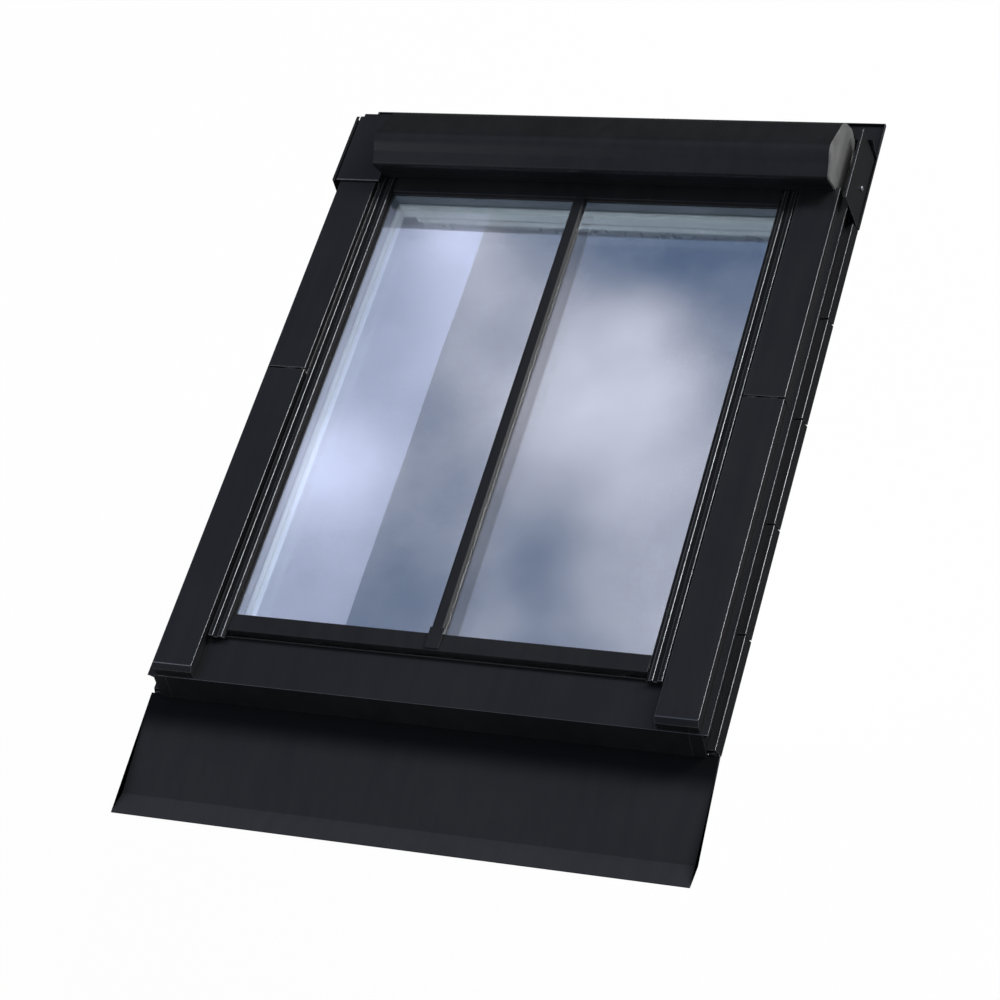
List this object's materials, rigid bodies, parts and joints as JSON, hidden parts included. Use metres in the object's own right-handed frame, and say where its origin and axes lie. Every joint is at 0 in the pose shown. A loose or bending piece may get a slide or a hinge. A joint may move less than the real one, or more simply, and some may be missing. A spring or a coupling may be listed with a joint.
{
  "type": "roof skylight",
  "caption": "Centre-pivot roof skylight: timber frame and pivoting glazed sash under dark metal covers, with a top hood and slate flashing, to be let into a pitched roof.",
  "frame": {"origin": "middle of the timber frame, on the plane of the roof battens where the brackets sit", "axes": "+X to the right across the slope seen from outside, +Y up the slope, +Z out of the roof"},
  "size_m": [0.82, 1.2624, 0.1738],
  "materials": {
    "cladding": "black coated sheet",
    "beads": "black coated profile",
    "cap": "bare grey end",
    "timber": "white painted timber",
    "flap": "white painted",
    "seal": "black rubber",
    "glass": "clear float glass",
    "spacer": "grey spacer bar",
    "zinc": "zinc plated steel",
    "bar": "satin anodised"
  },
  "bodies": {
    "frame": {"left_jamb": "timber", "right_jamb": "timber", "frame_head": "timber", "frame_sill": "timber", "frame_seal": "seal", "left_cladding": "cladding", "right_cladding": "cladding", "sill_cover": "cladding", "upper_left_cover": "cladding", "upper_right_cover": "cladding", "hood": "cladding", "hood_left_cap": "cladding", "hood_right_cap": "cap", "corner_plate": "cladding", "left_wing": "cladding", "right_wing": "cladding", "head_flashing": "cladding", "apron": "cladding", "left_soakers": "cladding", "right_soakers": "cladding", "flashing_screws": "zinc", "fixing_brackets": "zinc", "bracket_screws": "zinc", "left_pivot_track": "zinc", "right_pivot_track": "zinc", "strike_plate": "zinc"},
    "sash": {"left_stile": "timber", "right_stile": "timber", "top_rail": "timber", "bottom_rail": "timber", "outer_pane": "glass", "inner_pane": "glass", "spacer_frame": "spacer", "left_bead": "beads", "right_bead": "beads", "top_bead": "beads", "bottom_bead": "beads", "glazing_bar": "beads", "lower_left_cover": "cladding", "lower_right_cover": "cladding", "left_pivot_shoe": "zinc", "right_pivot_shoe": "zinc", "flap_hinge": "zinc"},
    "flap": {"vent_flap": "flap", "control_bar": "bar"}
  },
  "joints": [
    {"name": "sash_pivot", "type": "hinge", "parent": "frame", "child": "sash", "pos_m": [0, 0.011, 0.0785], "axis": [-1, 0, 0], "range_deg": [0, 160]},
    {"name": "flap_pivot", "type": "hinge", "parent": "sash", "child": "flap", "pos_m": [0, 0.438, 0.0025], "axis": [1, 0, 0], "range_deg": [0, 40]}
  ]
}
